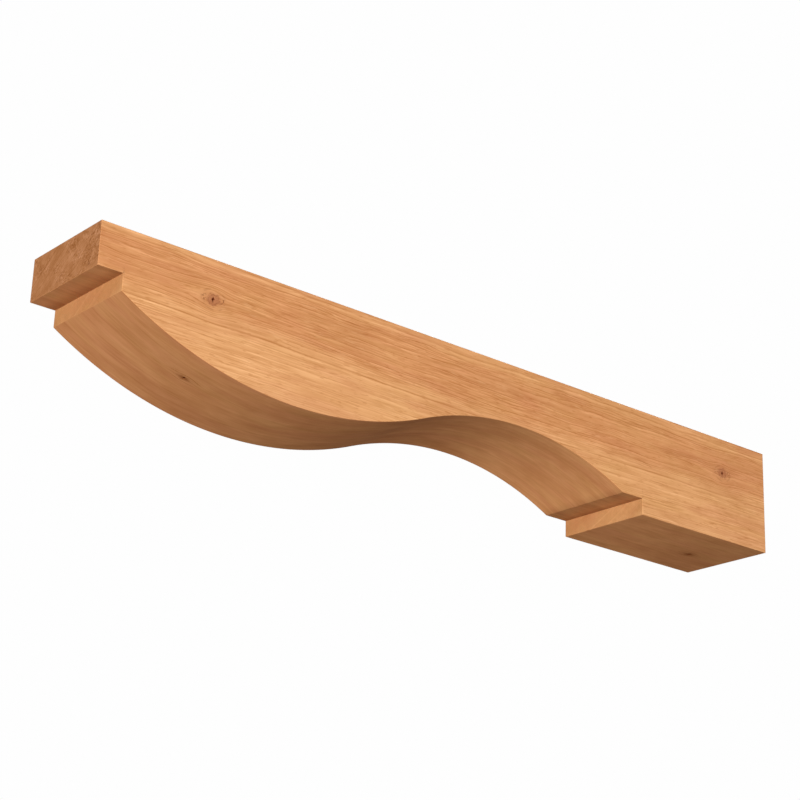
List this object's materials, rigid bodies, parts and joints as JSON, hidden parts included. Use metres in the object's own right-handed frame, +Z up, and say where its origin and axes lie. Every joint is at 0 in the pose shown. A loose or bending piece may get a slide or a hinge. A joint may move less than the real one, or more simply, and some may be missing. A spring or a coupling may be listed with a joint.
{
  "type": "rafter tail",
  "caption": "Straight square timber, its underside sawn into a round belly and a long hollow between stepped fillets, made to show under the eaves as the end of a rafter.",
  "frame": {"origin": "centre of the square wall end, where the piece meets the wall", "axes": "+X out of the wall end, into the wall; the nose points to -X. +Y across the width. +Z up, out of the flat top"},
  "size_m": [0.762, 0.1016, 0.1016],
  "materials": {
    "planed_fir": "bare planed softwood, Douglas fir, with a few small tight knots"
  },
  "bodies": {
    "root": {"rafter_tail": "planed_fir"}
  },
  "joints": []
}
